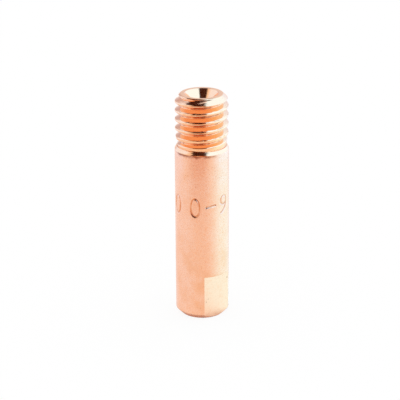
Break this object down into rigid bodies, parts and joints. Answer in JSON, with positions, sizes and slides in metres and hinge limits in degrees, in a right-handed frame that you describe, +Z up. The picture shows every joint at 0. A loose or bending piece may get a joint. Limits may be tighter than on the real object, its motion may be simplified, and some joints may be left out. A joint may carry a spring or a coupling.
{
  "type": "welding contact tip",
  "caption": "Turned copper contact tip for a wire-feed welding torch: round body with a male thread at one end, a countersunk wire bore right through and wrench flats at the nose.",
  "frame": {"origin": "centre of the nose face, on the axis of the wire bore", "axes": "+Z up the axis from the nose to the threaded end; the wrench flats face -Y and +Y"},
  "size_m": [0.006, 0.0058, 0.0254],
  "materials": {
    "copper": "satin"
  },
  "bodies": {
    "root": {"contact_tip": "copper"}
  },
  "joints": []
}
